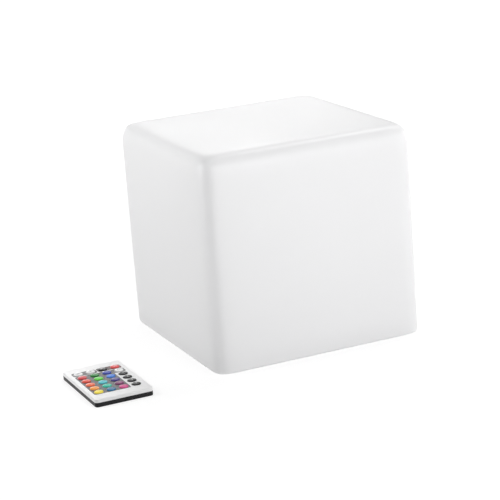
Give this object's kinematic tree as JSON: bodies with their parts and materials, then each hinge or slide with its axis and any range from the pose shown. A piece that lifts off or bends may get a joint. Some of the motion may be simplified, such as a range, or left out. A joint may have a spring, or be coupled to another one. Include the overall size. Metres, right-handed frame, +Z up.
{
  "type": "led cube light",
  "caption": "White translucent cube light that rests on a rubber ring, with a recessed base holding a button and charging socket, and a flat infrared handset with coloured round keys.",
  "frame": {"origin": "on the floor under the middle of the cube", "axes": "+Z up, the cube's front face looks along -Y, the handset lies at -X"},
  "size_m": [0.313, 0.204, 0.1932],
  "materials": {
    "shell_plastic": "satin",
    "foot_rubber": "matte",
    "seal_rubber": "matte",
    "insert_brass": "satin",
    "screw_steel": "satin",
    "housing_plastic": "satin",
    "cover_plastic": "satin",
    "spreader_aluminium": "satin",
    "light_board": "satin",
    "led_package": "gloss",
    "receiver_epoxy": "gloss",
    "dome_frosted": "satin",
    "driver_laminate": "satin",
    "component_epoxy": "matte",
    "jack_plastic": "satin",
    "switch_plastic": "satin",
    "button_plastic": "satin",
    "port_rubber": "matte",
    "pin_steel": "polished",
    "lens_acrylic": "gloss",
    "cell_wrap": "satin",
    "cradle_plastic": "satin",
    "lead_insulation": "satin",
    "handset_white": "satin",
    "handset_black": "satin",
    "keymat_silicone": "matte",
    "handset_laminate": "satin",
    "ir_led_epoxy": "gloss",
    "contact_nickel": "satin",
    "coin_steel": "satin",
    "white_key_rubber": "satin",
    "black_key_rubber": "satin",
    "on_key_rubber": "satin",
    "red_key_rubber": "satin",
    "green_key_rubber": "satin",
    "blue_key_rubber": "satin",
    "orange_red_key_rubber": "satin",
    "light_green_key_rubber": "satin",
    "sky_blue_key_rubber": "satin",
    "orange_key_rubber": "satin",
    "cyan_key_rubber": "satin",
    "indigo_key_rubber": "satin",
    "amber_key_rubber": "satin",
    "teal_key_rubber": "satin",
    "plum_key_rubber": "satin",
    "yellow_key_rubber": "satin",
    "azure_key_rubber": "satin",
    "pink_key_rubber": "satin"
  },
  "bodies": {
    "lamp": {"cube_shell": "shell_plastic", "foot_ring": "foot_rubber", "threaded_inserts": "insert_brass", "shell_gasket": "seal_rubber", "light_housing": "housing_plastic", "dome_seal": "seal_rubber", "heat_spreader": "spreader_aluminium", "led_board": "light_board", "led_chips": "led_package", "ir_receiver": "receiver_epoxy", "diffuser_dome": "dome_frosted", "base_cover": "cover_plastic", "cover_seal": "seal_rubber", "base_screws": "screw_steel", "module_screws": "screw_steel", "driver_board": "driver_laminate", "driver_components": "component_epoxy", "charge_lens": "lens_acrylic", "tact_switch": "switch_plastic", "dc_jack": "jack_plastic", "port_hinge_pin": "pin_steel", "battery_cell": "cell_wrap", "battery_cradle": "cradle_plastic", "internal_leads": "lead_insulation"},
    "power_button": {"power_button": "button_plastic", "button_seal": "seal_rubber", "switch_plunger": "switch_plastic"},
    "port_cover": {"port_cover": "port_rubber"},
    "handset": {"handset_lower_case": "handset_black", "handset_upper_case": "handset_white", "handset_keymat": "keymat_silicone", "handset_board": "handset_laminate", "handset_ir_led": "ir_led_epoxy", "handset_contacts": "contact_nickel"},
    "battery_drawer": {"battery_drawer": "handset_black", "coin_cell": "coin_steel"},
    "key_brightness_up": {"key_brightness_up": "white_key_rubber"},
    "key_brightness_down": {"key_brightness_down": "white_key_rubber"},
    "key_off": {"key_off": "black_key_rubber"},
    "key_on": {"key_on": "on_key_rubber"},
    "key_red": {"key_red": "red_key_rubber"},
    "key_green": {"key_green": "green_key_rubber"},
    "key_blue": {"key_blue": "blue_key_rubber"},
    "key_white": {"key_white": "white_key_rubber"},
    "key_orange_red": {"key_orange_red": "orange_red_key_rubber"},
    "key_light_green": {"key_light_green": "light_green_key_rubber"},
    "key_sky_blue": {"key_sky_blue": "sky_blue_key_rubber"},
    "key_flash": {"key_flash": "black_key_rubber"},
    "key_orange": {"key_orange": "orange_key_rubber"},
    "key_cyan": {"key_cyan": "cyan_key_rubber"},
    "key_indigo": {"key_indigo": "indigo_key_rubber"},
    "key_strobe": {"key_strobe": "black_key_rubber"},
    "key_amber": {"key_amber": "amber_key_rubber"},
    "key_teal": {"key_teal": "teal_key_rubber"},
    "key_plum": {"key_plum": "plum_key_rubber"},
    "key_fade": {"key_fade": "black_key_rubber"},
    "key_yellow": {"key_yellow": "yellow_key_rubber"},
    "key_azure": {"key_azure": "azure_key_rubber"},
    "key_pink": {"key_pink": "pink_key_rubber"},
    "key_smooth": {"key_smooth": "black_key_rubber"}
  },
  "joints": [
    {"name": "power_press", "type": "slide", "parent": "lamp", "child": "power_button", "axis": [0, 0, 1], "range_m": [0, 0.0005], "stiffness_N_per_m": 400, "springref_m": -0.001},
    {"name": "port_cover_hinge", "type": "hinge", "parent": "lamp", "child": "port_cover", "pos_m": [-0.032, -0.02, 0.0182], "axis": [0, 1, 0], "range_deg": [0, 105]},
    {"name": "handset_lift", "type": "slide", "parent": "lamp", "child": "handset", "axis": [0, 0, 1], "range_m": [0, 0.12]},
    {"name": "drawer_slide", "type": "slide", "parent": "handset", "child": "battery_drawer", "axis": [0, -1, 0], "range_m": [0, 0.03]},
    {"name": "press_brightness_up", "type": "slide", "parent": "handset", "child": "key_brightness_up", "axis": [0, 0, -1], "range_m": [0, 0.0005], "stiffness_N_per_m": 200, "springref_m": -0.001},
    {"name": "press_brightness_down", "type": "slide", "parent": "handset", "child": "key_brightness_down", "axis": [0, 0, -1], "range_m": [0, 0.0005], "stiffness_N_per_m": 200, "springref_m": -0.001},
    {"name": "press_off", "type": "slide", "parent": "handset", "child": "key_off", "axis": [0, 0, -1], "range_m": [0, 0.0005], "stiffness_N_per_m": 200, "springref_m": -0.001},
    {"name": "press_on", "type": "slide", "parent": "handset", "child": "key_on", "axis": [0, 0, -1], "range_m": [0, 0.0005], "stiffness_N_per_m": 200, "springref_m": -0.001},
    {"name": "press_red", "type": "slide", "parent": "handset", "child": "key_red", "axis": [0, 0, -1], "range_m": [0, 0.0005], "stiffness_N_per_m": 200, "springref_m": -0.001},
    {"name": "press_green", "type": "slide", "parent": "handset", "child": "key_green", "axis": [0, 0, -1], "range_m": [0, 0.0005], "stiffness_N_per_m": 200, "springref_m": -0.001},
    {"name": "press_blue", "type": "slide", "parent": "handset", "child": "key_blue", "axis": [0, 0, -1], "range_m": [0, 0.0005], "stiffness_N_per_m": 200, "springref_m": -0.001},
    {"name": "press_white", "type": "slide", "parent": "handset", "child": "key_white", "axis": [0, 0, -1], "range_m": [0, 0.0005], "stiffness_N_per_m": 200, "springref_m": -0.001},
    {"name": "press_orange_red", "type": "slide", "parent": "handset", "child": "key_orange_red", "axis": [0, 0, -1], "range_m": [0, 0.0005], "stiffness_N_per_m": 200, "springref_m": -0.001},
    {"name": "press_light_green", "type": "slide", "parent": "handset", "child": "key_light_green", "axis": [0, 0, -1], "range_m": [0, 0.0005], "stiffness_N_per_m": 200, "springref_m": -0.001},
    {"name": "press_sky_blue", "type": "slide", "parent": "handset", "child": "key_sky_blue", "axis": [0, 0, -1], "range_m": [0, 0.0005], "stiffness_N_per_m": 200, "springref_m": -0.001},
    {"name": "press_flash", "type": "slide", "parent": "handset", "child": "key_flash", "axis": [0, 0, -1], "range_m": [0, 0.0005], "stiffness_N_per_m": 200, "springref_m": -0.001},
    {"name": "press_orange", "type": "slide", "parent": "handset", "child": "key_orange", "axis": [0, 0, -1], "range_m": [0, 0.0005], "stiffness_N_per_m": 200, "springref_m": -0.001},
    {"name": "press_cyan", "type": "slide", "parent": "handset", "child": "key_cyan", "axis": [0, 0, -1], "range_m": [0, 0.0005], "stiffness_N_per_m": 200, "springref_m": -0.001},
    {"name": "press_indigo", "type": "slide", "parent": "handset", "child": "key_indigo", "axis": [0, 0, -1], "range_m": [0, 0.0005], "stiffness_N_per_m": 200, "springref_m": -0.001},
    {"name": "press_strobe", "type": "slide", "parent": "handset", "child": "key_strobe", "axis": [0, 0, -1], "range_m": [0, 0.0005], "stiffness_N_per_m": 200, "springref_m": -0.001},
    {"name": "press_amber", "type": "slide", "parent": "handset", "child": "key_amber", "axis": [0, 0, -1], "range_m": [0, 0.0005], "stiffness_N_per_m": 200, "springref_m": -0.001},
    {"name": "press_teal", "type": "slide", "parent": "handset", "child": "key_teal", "axis": [0, 0, -1], "range_m": [0, 0.0005], "stiffness_N_per_m": 200, "springref_m": -0.001},
    {"name": "press_plum", "type": "slide", "parent": "handset", "child": "key_plum", "axis": [0, 0, -1], "range_m": [0, 0.0005], "stiffness_N_per_m": 200, "springref_m": -0.001},
    {"name": "press_fade", "type": "slide", "parent": "handset", "child": "key_fade", "axis": [0, 0, -1], "range_m": [0, 0.0005], "stiffness_N_per_m": 200, "springref_m": -0.001},
    {"name": "press_yellow", "type": "slide", "parent": "handset", "child": "key_yellow", "axis": [0, 0, -1], "range_m": [0, 0.0005], "stiffness_N_per_m": 200, "springref_m": -0.001},
    {"name": "press_azure", "type": "slide", "parent": "handset", "child": "key_azure", "axis": [0, 0, -1], "range_m": [0, 0.0005], "stiffness_N_per_m": 200, "springref_m": -0.001},
    {"name": "press_pink", "type": "slide", "parent": "handset", "child": "key_pink", "axis": [0, 0, -1], "range_m": [0, 0.0005], "stiffness_N_per_m": 200, "springref_m": -0.001},
    {"name": "press_smooth", "type": "slide", "parent": "handset", "child": "key_smooth", "axis": [0, 0, -1], "range_m": [0, 0.0005], "stiffness_N_per_m": 200, "springref_m": -0.001}
  ]
}
